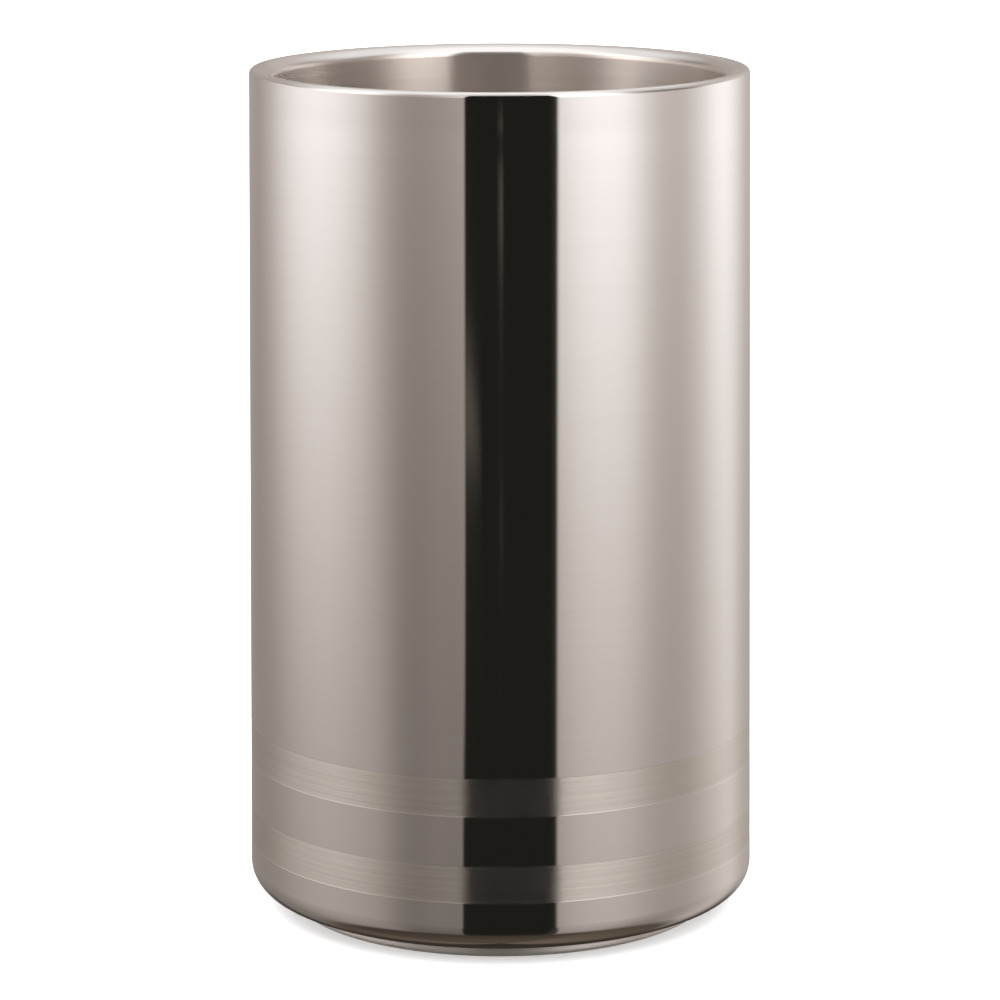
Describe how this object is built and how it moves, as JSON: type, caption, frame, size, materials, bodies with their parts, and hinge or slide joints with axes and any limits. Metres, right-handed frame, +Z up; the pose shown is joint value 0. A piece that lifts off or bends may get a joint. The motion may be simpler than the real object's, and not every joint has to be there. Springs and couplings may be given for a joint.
{
  "type": "double-walled bottle cooler",
  "caption": "Cylindrical double-walled steel cooler for a wine or champagne bottle: polished wall with satin bands near the base, rounded lip, brushed inner cup and a recessed foot ring.",
  "frame": {"origin": "centre of the foot ring's resting plane, on the cooler's axis", "axes": "+Z up along the axis, out of the open mouth; the body is turned about Z, so +X and +Y are interchangeable"},
  "size_m": [0.12, 0.12, 0.2],
  "materials": {
    "polished_steel": "polished",
    "polished_seam": "polished",
    "brushed_steel": "satin",
    "pressed_steel": "satin",
    "weld_steel": "matte",
    "plug_steel": "satin",
    "felt": "matte"
  },
  "bodies": {
    "root": {"outer_shell": "polished_steel", "rim_weld_bead": "polished_seam", "inner_liner": "brushed_steel", "base_plate": "pressed_steel", "base_weld_bead": "weld_steel", "vent_plug": "plug_steel", "floor_pad": "felt"}
  },
  "joints": []
}
